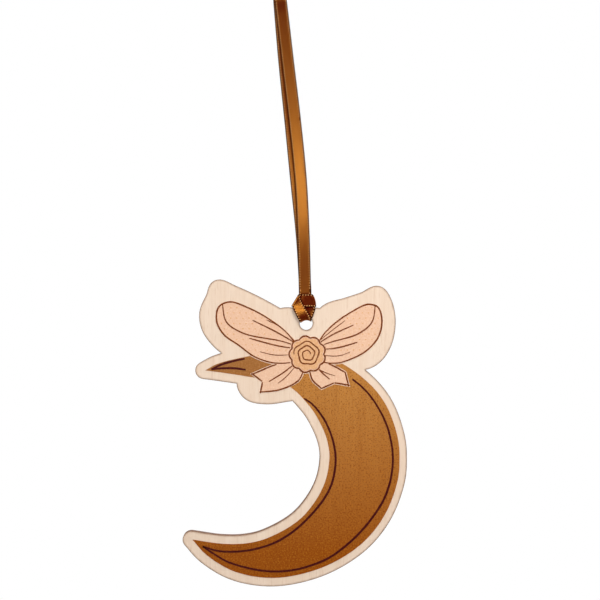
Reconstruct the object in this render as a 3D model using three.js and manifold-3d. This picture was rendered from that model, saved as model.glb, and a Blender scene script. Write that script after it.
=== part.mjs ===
// A crescent moon decoration: a printed plywood plate that hangs on a satin ribbon, tied through its hole in
// a cow hitch. Millimetres, with X to the right, Y into the picture and Z up. The origin is the hanging
// point, inside the ribbon's eye and under its end knot. Outlines are [right, up] from the hole's centre.

import * as THREE from "three";
import { mergeVertices } from "three/addons/utils/BufferGeometryUtils.js";
import Module from "manifold-3d";

const wasm = await Module();
wasm.setup();

// Driving sizes

const veneer = 0.6; // each face veneer of the plywood
const core = 1.8; // the plywood's cross-grain core
const hole = { diameter: 3.2, right: 7.8, below: 92 }; // its centre, seen from the hanging point
const print = {
  margin: 2.1, // bare wood from the moon's edge to the cut edge
  drift: 0.3, // the print sits this far to the right of the cut
  film: 0.06, // a coloured fill
  lineFilm: 0.04, // a drawn line, printed over the fills
  lineWidth: 0.42,
  gap: 0.15, // bare wood between two colours
  echo: 1.45, // from the moon's edge to the dark line that follows it
};
const ribbon = { width: 3, thickness: 0.2, clear: 0.1, layer: 0.35 }; // layer: to the next ribbon on it
const joinGap = 0.3; // between two lengths of ribbon that meet end to end
const hitchTop = 8.2; // above the hole, where the two strands leave the hitch
const strandSplit = 50; // above the hole, where the upper strands take over from the lower ones
const knot = { width: 4.8, depth: 3.6, height: 4, bottom: 1.2 }; // bottom: above the hanging point
const wrap = { radius: 2, thickness: 1.5, height: 0.7, tilt: 24 }; // the turn of ribbon round the knot
const tail = { length: 8.5, lean: 20, slant: 1.2 }; // the cut ends above the knot, with a slanting cut
const rosette = { radius: 4.7, petals: 9, depth: 0.5, down: 7.5 }; // the printed flower under the hole
const spiral = { turns: 2.5, start: 0.7, petals: 5, wave: 0.06, steps: 80 }; // the rosette's one drawn line
const arcSides = 32;
const finest = 0.01; // the least bend that an outline keeps

const thickness = core + 2 * veneer;

// The drawing, as smooth stretches that meet at its tips

const hornTip = [-25, -11.45];
const lowTip = [-28.1, -52.8];
const moonOuter = [
  lowTip, [-24.7, -56.5], [-17.8, -60.6], [-8.6, -62.15], [0.8, -60.6], [8.5, -57.2], [14.7, -52.4],
  [19.3, -46], [22.1, -38.1], [22.5, -33], [22.1, -28.1], [19.3, -20.1], [14.6, -14.2], [6, -8.6], [-5, -6.6],
  [-15.4, -8.2], [-21.95, -9.85], hornTip,
];
const moonInner = [
  hornTip, [-20.6, -12.05], [-13.8, -13.1], [-5, -15], [0.6, -20.3], [3.1, -24.3], [4.9, -28.9],
  [5.35, -33.3], [3.75, -40.1], [-1.6, -47.6], [-9.7, -52.4], [-14.9, -53.7], [-20.8, -53.8], lowTip,
];

// The plate's lobes round the bow
const lobes = [
  [
    [-1.5, -5.5], [-4.2, -0.5], [-10.4, 3.6], [-18.3, 7.4], [-21.5, 8.6], [-22.4, 6.4], [-24, 2.6],
    [-23.6, -0.7], [-21.7, -3.6], [-19.3, -5.7], [-14.5, -7.9], [-8, -8.8],
  ],
  [
    [1.5, -5.5], [7.5, -9.6], [12.3, -9.6], [15.5, -8.75], [17.6, -6.9], [19.2, -3.6], [19.75, 1],
    [18.9, 5], [17.4, 7.1], [14.6, 5.8], [10, 4.25], [5.4, 2.75], [2.6, -0.8],
  ],
  [
    [-2, -7], [-9.5, -9.6], [-13.4, -12.2], [-14.9, -14.6], [-13.6, -16.85], [-9.6, -17.65], [-4.2, -16.95],
    [1.5, -16.2], [6, -16.7], [10.2, -16.9], [11.2, -15], [10.6, -12.2], [7.5, -9.5], [2, -7],
  ],
  [[-5.8, 1.7], [-6.4, 1], [-5.4, -3], [-1.2, -4.4], [3, -3], [3.6, 1], [3.1, 1.65], [-1.2, 1.65]],
];

// The printed bow
const loops = [
  [
    [-1.8, -6.2], [-5, -2], [-9.8, 1.6], [-15, 4.3], [-19, 5.5], [-21.8, 4.2], [-22.4, 0.6], [-20.6, -2.8],
    [-17, -5.4], [-12.8, -8.4], [-7.4, -9.9], [-2.4, -9],
  ],
  [
    [1.8, -6.2], [2.4, -9], [6.8, -9.9], [10.9, -8.8], [14.8, -6.6], [17.6, -3.2], [18.4, 0.8], [17.4, 4.1],
    [14.8, 4.9], [11, 3.2], [6.8, 0.4], [3.6, -2.8],
  ],
];
const leftTail = [
  [[-0.6, -8.6], [-7, -9.6], [-13.8, -12.3]],
  [[-11.2, -14.3], [-11.7, -17]],
  [[-6.4, -16.3], [-2, -14], [-0.5, -10.8]],
];
const rightTail = [
  [[0.2, -10.8], [1, -13.8], [3.4, -16.1]],
  [[6.6, -14.7], [10.3, -15.3]],
  [[9.4, -11.8], [5.6, -9.8], [0.6, -8.6]],
];
const creases = [
  [[-1, -6], [-7, -2.4], [-13.4, 0.8]],
  [[-1, -6.4], [-7.4, -5.4], [-14.2, -3.6]],
  [[-1, -6.2], [-6, -4.4], [-15.6, -2.4], [-19.8, 0.4], [-20.8, 4.9]],
  [[1, -6], [6, -2.8], [11.2, -0.4]],
  [[1, -6.4], [7, -6], [12.2, -4.6]],
  [[1, -6.2], [5.6, -4.6], [12.6, -2.4], [15.8, 0.4], [16.6, 4.6]],
  [[-1, -8], [-5.6, -11.8], [-9.4, -14.2]],
  [[1, -8], [3, -11.4], [5.4, -13.6]],
];

// Flat outlines

const flat = (points) => new wasm.CrossSection([points.map((p) => [p.x, p.y])]);
const joined = (shapes) => shapes.reduce((whole, next) => whole.add(next));
const grown = (shape, distance) => shape.offset(distance, "Round", 2, arcSides).simplify(finest);
const border = (shape) => shape.subtract(grown(shape, -print.lineWidth));

function smooth(points, closed = false) {
  const stepsPerSpan = 6;
  const line = points.map(([x, y]) => new THREE.Vector3(x, y, 0));
  const curve = new THREE.CatmullRomCurve3(line, closed, "centripetal");
  const spans = closed ? points.length : points.length - 1;
  return curve.getPoints(spans * stepsPerSpan).slice(closed ? 1 : 0);
}

// A drawn line: its points moved to the right of their run, then back along the left
function stroke(points) {
  const side = (distance) => points.map((p, i) => {
    const next = points[Math.min(i + 1, points.length - 1)];
    const along = next.clone().sub(points[Math.max(i - 1, 0)]).normalize();
    return new THREE.Vector2(p.x + distance * along.y, p.y - distance * along.x);
  });
  return flat([...side(print.lineWidth / 2), ...side(-print.lineWidth / 2).reverse()]);
}

function scalloped({ radius, petals, depth, down }) {
  const count = petals * 6;
  return flat(Array.from({ length: count }, (_, i) => {
    const a = (2 * Math.PI * i) / count;
    const r = radius - depth * (1 - Math.abs(Math.sin((petals * a) / 2)));
    return new THREE.Vector2(r * Math.cos(a), r * Math.sin(a) - down);
  }));
}

// Solids

function toSolid(geometry) {
  const bare = geometry.clone();
  bare.deleteAttribute("normal");
  bare.deleteAttribute("uv");
  const merged = mergeVertices(bare, 1e-5);
  const mesh = { numProp: 3, vertProperties: merged.attributes.position.array, triVerts: merged.index.array };
  return new wasm.Manifold(new wasm.Mesh(mesh));
}

function toGeometry(solid) {
  const { vertProperties, triVerts } = solid.getMesh();
  const geometry = new THREE.BufferGeometry();
  geometry.setAttribute("position", new THREE.BufferAttribute(new Float32Array(vertProperties), 3));
  geometry.setIndex(new THREE.BufferAttribute(new Uint32Array(triVerts), 1));
  const faceted = geometry.toNonIndexed();
  faceted.computeVertexNormals();
  return faceted;
}

// The group's parts

const ornament = new THREE.Group();
const plateGroup = new THREE.Group();
plateGroup.position.set(hole.right, 0, -hole.below);
plateGroup.rotation.x = Math.PI / 2;
ornament.add(plateGroup);

const wood = { roughness: 0.75, metalness: 0 };
const ink = { roughness: 0.5, metalness: 0 };
const satin = { roughness: 0.35, metalness: 0 };

function add(parent, name, geometry, color, finish) {
  const mesh = new THREE.Mesh(geometry, new THREE.MeshStandardMaterial({ color, ...finish }));
  mesh.name = name;
  parent.add(mesh);
  return mesh;
}

// Plywood: the drawing with its margin, cut through three plies. Heights point to the viewer.

const moon = flat([...smooth(moonOuter), ...smooth(moonInner)]);
const rounded = (points) => flat(smooth(points, true));
const bore = wasm.CrossSection.circle(hole.diameter / 2, arcSides);
const plate = grown(joined([moon, ...lobes.map(rounded)]), print.margin).subtract(bore);

const face = thickness / 2;
for (const [name, depth, height, color] of [
  ["back_veneer", veneer, -face, 0xe6cdb4],
  ["core_ply", core, veneer - face, 0x8a5a3c],
  ["front_veneer", veneer, face - veneer, 0xf1dccb],
]) {
  add(plateGroup, name, toGeometry(plate.extrude(depth)), color, wood).position.z = height;
}

// Printed films, which lie on the front veneer, with the lines over the fills

const printGroup = new THREE.Group();
printGroup.position.set(print.drift, 0, face);
plateGroup.add(printGroup);

const printed = (name, shape, depth, height, color) => {
  add(printGroup, name, toGeometry(shape.extrude(depth)), color, ink).position.z = height;
};
const islands = (shape) => shape.decompose().sort((a, b) => b.area() - a.area());
const inside = (shape) => grown(shape, -print.lineWidth / 2);

const rim = scalloped(rosette);
const loopShapes = loops.map(rounded);
const tailShapes = [leftTail, rightTail].map((sides) => flat(sides.flatMap((points) => smooth(points))));
const bow = joined([...loopShapes, ...tailShapes, rim]);
const beside = (shape) => islands(shape.subtract(grown(bow, print.gap)));

const [moonFill, hornFill] = beside(moon);
const [moonLine, hornLine] = beside(border(grown(moon, print.lineWidth / 2 - print.echo)));
printed("moon_ink", moonFill, print.film, 0, 0x955718);
printed("horn_ink", hornFill, print.film, 0, 0x85471a);
printed("moon_line_ink", moonLine, print.lineFilm, print.film, 0x4a0f10);
printed("horn_line_ink", hornLine, print.lineFilm, print.film, 0x4a0f10);

// The bow: its fill, then the borders of its loops and tails, their creases, and the rim that joins them
const tailBorders = joined(tailShapes.map(border)).subtract(inside(joined(loopShapes)));
const creaseLines = creases.map((points) => stroke(smooth(points)));
const bowLines = joined([...loopShapes.map(border), tailBorders, ...creaseLines]).subtract(inside(rim));
printed("bow_ink", bow, print.film, 0, 0xf6cdb0);
printed("bow_line_ink", bowLines.add(border(rim)), print.lineFilm, print.film, 0x7c3c12);

// The rosette: its fill, and one line that winds out as petal edges
const inRim = print.lineWidth + print.gap;
const lineEnd = rosette.radius - rosette.depth - inRim - print.lineWidth;
const petalLine = Array.from({ length: spiral.steps + 1 }, (_, i) => {
  const part = i / spiral.steps;
  const a = 2 * Math.PI * spiral.turns * part;
  const wave = 1 + spiral.wave * Math.sin(spiral.petals * a);
  const r = THREE.MathUtils.lerp(spiral.start, lineEnd, part) * wave;
  return new THREE.Vector2(r * Math.cos(a), r * Math.sin(a) - rosette.down);
});
printed("rosette_ink", grown(rim, -inRim), print.film, print.film, 0xeab583);
printed("rosette_line_ink", stroke(petalLine), print.lineFilm, 2 * print.film, 0x7c3c12);

// Ribbon: a flat strip whose mid surface runs through stations. A station is its two edge points and how far
// its middle rises above the straight line between them.

const station = (one, other, rise = [0, 0, 0]) => ({ one, other, rise });

function strip(stations, steps = 1, across = 2) {
  const curve = (key) => new THREE.CatmullRomCurve3(stations.map((s) => new THREE.Vector3(...s[key])));
  const curves = { one: curve("one"), other: curve("other"), rise: curve("rise") };
  const rows = (stations.length - 1) * steps;
  const grid = Array.from({ length: rows + 1 }, (_, i) => {
    const one = curves.one.getPoint(i / rows);
    const other = curves.other.getPoint(i / rows);
    const rise = curves.rise.getPoint(i / rows);
    return Array.from({ length: across + 1 }, (_, j) => {
      const t = j / across;
      return one.clone().lerp(other, t).addScaledVector(rise, 4 * t * (1 - t));
    });
  });
  const skin = [1, -1].map((side) => grid.map((row, i) => row.map((p, j) => {
    const along = grid[Math.min(i + 1, rows)][j].clone().sub(grid[Math.max(i - 1, 0)][j]);
    const over = row[Math.min(j + 1, across)].clone().sub(row[Math.max(j - 1, 0)]);
    return p.clone().addScaledVector(along.cross(over).normalize(), (side * ribbon.thickness) / 2);
  })));
  const ring = (i) => [...skin[0][i], ...[...skin[1][i]].reverse()];
  const n = 2 * (across + 1);
  const positions = grid.flatMap((_, i) => ring(i)).flatMap((p) => [p.x, p.y, p.z]);
  const index = [];
  for (let i = 0; i < rows; i++) {
    for (let j = 0; j < n; j++) {
      const [a, b] = [i * n + j, i * n + ((j + 1) % n)];
      index.push(a, a + n, b, b, a + n, b + n);
    }
  }
  for (let j = 0; j < across; j++) {
    const [a, b, c, d] = [j, j + 1, n - 2 - j, n - 1 - j];
    const end = rows * n;
    index.push(a, b, d, b, c, d);
    index.push(end + a, end + d, end + b, end + b, end + d, end + c);
  }
  const geometry = new THREE.BufferGeometry();
  geometry.setAttribute("position", new THREE.Float32BufferAttribute(positions, 3));
  geometry.setIndex(index);
  geometry.userData.grid = grid;
  return geometry;
}

// Cow hitch: from the rear strand down the back, out through the hole, up the front as the left leg, folded
// over into the band, folded again into the right leg behind it, and back through the hole to the front strand

const near = face + ribbon.clear + ribbon.thickness / 2; // the first ribbon on a face, from the plate's middle
const far = near + ribbon.layer;
const inHole = face - 0.4;
const rearY = 0.15;
const frontY = rearY - ribbon.layer;
const hitchStations = [
  station([1.28, rearY, hitchTop], [-1.72, rearY, hitchTop]),
  station([1.3, 0.17, 7], [-1.7, 0.17, 7]),
  station([1.35, 1.05, 5.5], [-1.65, 1.05, 5.5]),
  station([1.42, 1.9, 4.4], [-1.58, 1.9, 4.4]),
  station([1.48, far, 3.6], [-1.52, far, 3.6]),
  station([1.5, far, 2.6], [-1.5, far, 2.6]),
  station([1.5, far, 1.85], [-1.5, far, 1.75], [0, 0, 0.05]),
  station([1.34, far - 0.12, 0.95], [-1.42, far - 0.12, 0.7], [0, 0, 0.42]),
  station([1.28, face, 0.52], [-1.37, face, 0.25], [0, 0, 0.57]),
  station([1.28, inHole, 0.5], [-1.36, inHole, 0.22], [0, 0, 0.58]),
  station([1.28, -inHole, 0.5], [-1.36, -inHole, 0.22], [0, 0, 0.58]),
  station([1.28, -face, 0.52], [-1.37, -face, 0.25], [0, 0, 0.57]),
  station([1.2, -far + 0.12, 1.05], [-1.62, -far + 0.12, 0.42], [0, 0, 0.45]),
  station([0.82, -far, 2.1], [-1.87, -far, 0.75], [0, 0, 0.05]),
  station([0, -far - 0.25, 3.5], [-2.6, -far - 0.12, 2.2]),
  station([-0.72, -far - 0.22, 4.75], [-3.2, -far - 0.24, 3.5]),
  station([-1.44, -1.86, 6.35], [-3.36, -far - 0.34, 3.85]),
  station([-1.72, -1.6, 6.86], [-3.5, -far - 0.16, 4.05]),
  station([-1.42, -1.42, 7.02], [-3.16, -far, 4.02]),
  station([-0.4, -1.36, 7.05], [-1.6, -far, 4.02]),
  station([0.5, -1.34, 7.06], [0.4, -far, 4.02]),
  station([1.2, -1.33, 7.02], [2.1, -far, 4.02], [0.1, 0, 0.05]),
  station([1.6, -1.15, 6.85], [2.46, -far + 0.17, 4.05], [0.22, 0, 0.1]),
  station([1.2, -0.98, 6.7], [2.36, -near, 3.9], [0.12, 0, 0.05]),
  station([-0.1, -1.15, 5.9], [2.28, -near, 3.66]),
  station([-0.59, -1.56, 4.48], [2.16, -near, 3.3]),
  station([-1.05, -near, 3.1], [1.85, -near, 2.3]),
  station([-1.36, -near, 2], [1.55, -near, 1.5], [0, 0, 0.1]),
  station([-1.36, -near + 0.08, 0.9], [1.26, -near + 0.08, 1.02], [0, 0, 0.5]),
  station([-1.31, -face + 0.1, 0.53], [1.14, -face + 0.1, 0.84], [0, 0, 0.73]),
  station([-1.3, -inHole, 0.51], [1.13, -inHole, 0.82], [0, 0, 0.74]),
  station([-1.3, inHole, 0.51], [1.13, inHole, 0.82], [0, 0, 0.74]),
  station([-1.31, face - 0.1, 0.53], [1.14, face - 0.1, 0.84], [0, 0, 0.73]),
  station([-1.36, near - 0.08, 0.9], [1.26, near - 0.08, 1.02], [0, 0, 0.5]),
  station([-1.5, near, 1.8], [1.5, near, 1.85], [0, 0, 0.1]),
  station([-1.6, near, 2.8], [1.4, near, 2.8]),
  station([-1.68, near, 3.7], [1.32, near, 3.7]),
  station([-1.74, 1.35, 4.6], [1.26, 1.35, 4.6]),
  station([-1.78, 0.55, 5.6], [1.22, 0.55, 5.6]),
  station([-1.8, -0.15, 6.9], [1.2, -0.15, 6.9]),
  station([-1.81, frontY, hitchTop], [1.19, frontY, hitchTop]),
];

const ribbonGroup = new THREE.Group();
ribbonGroup.position.set(hole.right, 0, -hole.below);
ornament.add(ribbonGroup);
add(ribbonGroup, "ribbon_hitch", strip(hitchStations, 2, 4), 0x7a4520, satin);

// Strands: each strand's middle, as [right, back, up] from the hanging point

const strandStart = hitchTop + joinGap - hole.below;
const strandEnd = knot.bottom - joinGap;
const frontStrand = [
  [7.49, frontY, strandStart], [7.19, -0.22, -71.6], [6.46, -0.24, -56.9], [4.99, -0.25, -42],
  [3.28, -0.25, -27.6], [1.57, -0.35, -13], [0.9, -1.3, -8.5], [0.45, -2.3, -5], [0.15, -2.3, -2.2],
  [0, -1.3, 0], [0, -0.8, strandEnd],
];
const rearStrand = [
  [7.58, rearY, strandStart], [6.85, 0.14, -71.6], [5.38, 0.16, -56.9], [3.92, 0.2, -42],
  [2.45, 0.2, -27.6], [1.23, 0.35, -13], [0.9, 1.3, -8.5], [0.45, 2.3, -5], [0.15, 2.3, -2.2],
  [0, 1.3, 0], [0, 0.8, strandEnd],
];

// The part of a strand between two heights, as stations square to its run
function strandStations(points, low, high, count) {
  const samples = 400;
  const route = new THREE.CatmullRomCurve3(points.map((p) => new THREE.Vector3(...p)));
  const fine = route.getSpacedPoints(samples).filter((p) => p.z >= low && p.z <= high);
  return Array.from({ length: count + 1 }, (_, i) => {
    const k = Math.round((i * (fine.length - 1)) / count);
    const along = fine[Math.min(k + 1, fine.length - 1)].clone().sub(fine[Math.max(k - 1, 0)]);
    const half = new THREE.Vector3(0, 1, 0).cross(along).setLength(ribbon.width / 2);
    const middle = fine[k];
    return station(middle.clone().sub(half).toArray(), middle.clone().add(half).toArray());
  });
}

const splitAt = strandSplit - hole.below;
for (const [name, points] of [["front", frontStrand], ["rear", rearStrand]]) {
  const lower = strandStations(points, strandStart, splitAt - joinGap / 2, 12);
  const upper = strandStations(points, splitAt + joinGap / 2, strandEnd, 22);
  add(ornament, `ribbon_${name}_lower`, strip(lower), 0x8f5a24, satin);
  add(ornament, `ribbon_${name}_upper`, strip(upper), 0x8f5a24, satin);
}

// End knot: a rounded overhand knot with one turn round it, and the two cut ends above it

const knotMiddle = knot.bottom + knot.height / 2;
const knotBall = toSolid(new THREE.SphereGeometry(0.5, 16, 10).scale(knot.width, knot.depth, knot.height));
const turnShape = new THREE.TorusGeometry(wrap.radius, wrap.thickness / 2, 8, 20).rotateX(Math.PI / 2);
const flattened = turnShape.scale(1, knot.depth / knot.width, wrap.height / wrap.thickness + 0.5);
const knotWrap = toSolid(flattened.rotateY(THREE.MathUtils.degToRad(wrap.tilt)));
add(ornament, "ribbon_end_knot", toGeometry(knotBall.add(knotWrap)), 0x6d3a1c, satin).position.z = knotMiddle;

for (const [name, side] of [["front", -1], ["rear", 1]]) {
  const lean = THREE.MathUtils.degToRad(tail.lean) * side;
  const up = new THREE.Vector3(Math.sin(lean), 0.1 * side, Math.cos(lean)).normalize();
  const half = new THREE.Vector3(Math.cos(lean), 0, -Math.sin(lean)).multiplyScalar(ribbon.width / 2);
  const start = new THREE.Vector3(0, (ribbon.layer * side) / 2, knot.bottom + knot.height + joinGap)
    .addScaledVector(up, (ribbon.width / 2) * Math.abs(Math.sin(lean)));
  const stations = [0, 0.5, 1].map((part) => {
    const middle = start.clone().addScaledVector(up, tail.length * part);
    const cut = up.clone().multiplyScalar((tail.slant * side * part) / 2);
    return station(middle.clone().sub(half).sub(cut).toArray(), middle.clone().add(half).add(cut).toArray());
  });
  add(ornament, `ribbon_tail_${name}`, strip(stations), 0x8f5a24, satin);
}

export default ornament;
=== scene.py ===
# A crescent moon decoration: printed plywood that hangs on a satin ribbon, tied through its hole in a cow
# hitch. Metres, in the CAD frame: X to the right, Y into the picture, Z up from the hanging point. Points of
# the drawing and of the ribbon are in millimetres and pass through MM.

import math

import bmesh
import bpy
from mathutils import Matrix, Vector, geometry, noise


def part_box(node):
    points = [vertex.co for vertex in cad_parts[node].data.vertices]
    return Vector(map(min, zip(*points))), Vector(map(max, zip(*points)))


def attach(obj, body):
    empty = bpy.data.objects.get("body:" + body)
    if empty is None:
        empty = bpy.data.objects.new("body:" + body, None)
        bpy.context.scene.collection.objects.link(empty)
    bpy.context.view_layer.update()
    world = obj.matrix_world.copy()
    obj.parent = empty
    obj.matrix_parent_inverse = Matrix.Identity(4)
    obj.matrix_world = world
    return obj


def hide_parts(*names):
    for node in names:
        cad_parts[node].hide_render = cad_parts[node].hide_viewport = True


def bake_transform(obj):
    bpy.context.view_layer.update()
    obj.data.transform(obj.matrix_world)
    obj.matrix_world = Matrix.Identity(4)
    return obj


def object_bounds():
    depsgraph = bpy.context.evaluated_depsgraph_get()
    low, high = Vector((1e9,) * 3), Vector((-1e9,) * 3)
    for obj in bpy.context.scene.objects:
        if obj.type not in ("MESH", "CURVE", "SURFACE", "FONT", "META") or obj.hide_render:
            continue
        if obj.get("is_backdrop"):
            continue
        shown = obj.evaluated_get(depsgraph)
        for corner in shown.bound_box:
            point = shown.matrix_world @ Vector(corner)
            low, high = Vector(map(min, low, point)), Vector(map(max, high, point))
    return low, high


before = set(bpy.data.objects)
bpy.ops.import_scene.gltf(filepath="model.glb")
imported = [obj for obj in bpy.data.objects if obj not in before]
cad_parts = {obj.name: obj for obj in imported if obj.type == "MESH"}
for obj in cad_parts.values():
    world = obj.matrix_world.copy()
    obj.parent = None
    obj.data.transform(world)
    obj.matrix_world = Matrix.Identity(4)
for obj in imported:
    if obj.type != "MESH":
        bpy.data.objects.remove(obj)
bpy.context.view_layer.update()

MM = 0.001
HOLE = Vector((7.8, 0, -92))
FACE = 1.5  # from the plate's middle to its printed face
VENEER = 0.6
FILM = 0.06
RIBBON_WIDTH = 3
RIBBON_THICKNESS = 0.2


# Node materials


def srgb(red, green, blue):
    """A colour as it is seen, 0 to 255, in the linear values that a shader takes."""
    def linear(value):
        part = value / 255
        return part / 12.92 if part <= 0.04045 else ((part + 0.055) / 1.055) ** 2.4
    return (linear(red), linear(green), linear(blue), 1)


class Paint:
    """A node material that ends in one Principled shader."""

    def __init__(self, name, **values):
        self.material = bpy.data.materials.new(name)
        self.material.use_nodes = True
        self.tree = self.material.node_tree
        self.shader = self.tree.nodes["Principled BSDF"]
        for key, value in values.items():
            self.shader.inputs[key.replace("_", " ")].default_value = value

    def node(self, kind, inputs, **settings):
        made = self.tree.nodes.new(kind)
        for key, value in settings.items():
            setattr(made, key, value)
        for key, value in inputs.items():
            if isinstance(value, bpy.types.NodeSocket):
                self.tree.links.new(value, made.inputs[key])
            else:
                made.inputs[key].default_value = value
        return made.outputs

    def place(self, source, scale, turn=0):
        """Coordinates from the object, or from its UVs, both stretched by scale."""
        coordinates = self.node("ShaderNodeTexCoord", {})[source]
        inputs = {"Vector": coordinates, "Rotation": (0, 0, turn), "Scale": scale}
        return self.node("ShaderNodeMapping", inputs)["Vector"]

    def noise(self, place, detail=2, roughness=0.5, distortion=0):
        inputs = {"Vector": place, "Scale": 1, "Detail": detail, "Roughness": roughness}
        return self.node("ShaderNodeTexNoise", {**inputs, "Distortion": distortion})[0]

    def ramp(self, value, low, high, to_low=0, to_high=1):
        """The value's stretch from low to high, as to_low to to_high."""
        inputs = {"Value": value, "From Min": low, "From Max": high, "To Min": to_low, "To Max": to_high}
        return self.node("ShaderNodeMapRange", inputs)["Result"]

    def math(self, operation, one, other):
        made = self.tree.nodes.new("ShaderNodeMath")
        made.operation = operation
        for socket, value in zip(made.inputs, (one, other)):
            if isinstance(value, bpy.types.NodeSocket):
                self.tree.links.new(value, socket)
            else:
                socket.default_value = value
        return made.outputs[0]

    def mix(self, factor, one, other):
        made = self.tree.nodes.new("ShaderNodeMix")
        made.data_type = "RGBA"
        for index, value in ((0, factor), (6, one), (7, other)):
            if isinstance(value, bpy.types.NodeSocket):
                self.tree.links.new(value, made.inputs[index])
            else:
                made.inputs[index].default_value = value
        return made.outputs[2]

    def attribute(self, name):
        return self.node("ShaderNodeAttribute", {}, attribute_name=name)["Fac"]

    def into(self, key, socket):
        self.tree.links.new(socket, self.shader.inputs[key])

    def bump(self, height, distance, strength=1):
        inputs = {"Height": height, "Distance": distance, "Strength": strength}
        self.into("Normal", self.node("ShaderNodeBump", inputs)["Normal"])


BAND_SCALE = (420, 420, 14)
FIBRE_SCALE = (4200, 4200, 110)
PORE_SCALE = (3000, 3000, 260)
SMOKE_SCALE = (700, 700, 700)
SPECKLE_SCALE = (2600, 2600, 2600)
TWIST_SCALE = (5200, 5200, 5200)
PAINTED_SHEEN_HEIGHTS = {"low": -0.148, "high": -0.106}  # heights between which the crescent is painted paler upwards, a painted sheen and painted light, in metres
SATIN = {"roughness": 0.32, "anisotropy": 0.92, "ior": 2.3, "tint": (1, 0.41, 0.06, 1)}
HEM = {"inner": 1, "outer": 1.14, "roughness": 0.6, "gloss": 0.2}  # inner and outer: from the middle
FOLD = {"reach": 0.0016, "closed": 0.45, "open": 0.95}


def grain_of(paint):
    """Vertical wood grain: broad bands, fine fibres, and short pores, each from 0 to 1."""
    bands = paint.noise(paint.place("Object", BAND_SCALE), detail=3, distortion=0.4)
    fibres = paint.noise(paint.place("Object", FIBRE_SCALE), detail=2)
    pores = paint.ramp(paint.noise(paint.place("Object", PORE_SCALE), detail=1), 0.62, 0.74)
    return bands, fibres, pores


def veneer_paint(name, light, dark, pore, scorch):
    """Bare sanded veneer. Its char attribute rises from 0 to 1 at the laser-cut edge."""
    paint = Paint(name, Roughness=0.62, Specular_IOR_Level=0.35)
    bands, fibres, pores = grain_of(paint)
    streaks = paint.math("ADD", paint.math("MULTIPLY", bands, 0.6), paint.math("MULTIPLY", fibres, 0.4))
    wood = paint.mix(paint.ramp(streaks, 0.32, 0.68), light, dark)
    wood = paint.mix(paint.math("MULTIPLY", pores, 0.45), wood, pore)
    char = paint.attribute("char")
    smoke = paint.noise(paint.place("Object", SMOKE_SCALE), detail=3)
    stain = paint.ramp(paint.math("ADD", char, paint.math("MULTIPLY", smoke, 0.3)), 0.3, 1.15)
    paint.into("Base Color", paint.mix(stain, wood, scorch))
    paint.into("Roughness", paint.ramp(streaks, 0.3, 0.7, 0.55, 0.7))
    height = paint.math("SUBTRACT", fibres, paint.math("MULTIPLY", pores, 1.5))
    paint.bump(height, 0.00002, 0.5)
    return paint.material


def charred_paint(name, light, dark):
    """A laser-cut edge: striations across the sheet, over bands that differ along the cut."""
    paint = Paint(name, Roughness=0.8, Specular_IOR_Level=0.25)
    striations = paint.noise(paint.place("UV", (6, 0.5, 1)), detail=3, roughness=0.7)
    bands = paint.noise(paint.place("UV", (0.5, 0.9, 1)), detail=2)
    both = paint.math("ADD", paint.math("MULTIPLY", striations, 0.6), paint.math("MULTIPLY", bands, 0.4))
    paint.into("Base Color", paint.mix(paint.ramp(both, 0.36, 0.62), dark, light))
    paint.bump(striations, 0.00006, 0.8)
    return paint.material


def ink_paint(name, colour, deep, haze, gloss, pale=None):
    """Printed ink. The veneer's grain shows through it, and its dots leave a fine speckle. The crescent is
    painted paler towards its top, a painted sheen and painted light."""
    paint = Paint(name, Roughness=gloss, Specular_IOR_Level=0.2)
    bands, fibres, pores = grain_of(paint)
    speckle = paint.noise(paint.place("Object", SPECKLE_SCALE), detail=2, roughness=0.6)
    streaks = paint.math("ADD", paint.math("MULTIPLY", bands, 0.5), paint.math("MULTIPLY", fibres, 0.5))
    # The crescent pales towards its top: painted sheen and painted light, by height.
    if pale:
        height = paint.node("ShaderNodeSeparateXYZ", {"Vector": paint.place("Object", (1, 1, 1))})["Z"]
        colour = paint.mix(paint.ramp(height, PAINTED_SHEEN_HEIGHTS["low"], PAINTED_SHEEN_HEIGHTS["high"]), colour, pale)
    ink = paint.mix(paint.ramp(streaks, 0.3, 0.7, 0, 0.3), colour, deep)
    ink = paint.mix(paint.ramp(speckle, 0.52, 0.66, 0, 0.7), ink, haze)
    ink = paint.mix(paint.ramp(speckle, 0.48, 0.34, 0, 0.8), ink, deep)
    paint.into("Base Color", paint.mix(paint.math("MULTIPLY", pores, 0.2), ink, deep))
    paint.into("Roughness", paint.ramp(speckle, 0.3, 0.7, gloss - 0.06, gloss + 0.08))
    paint.bump(paint.math("ADD", speckle, fibres), 0.00001, 0.5)
    return paint.material


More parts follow.
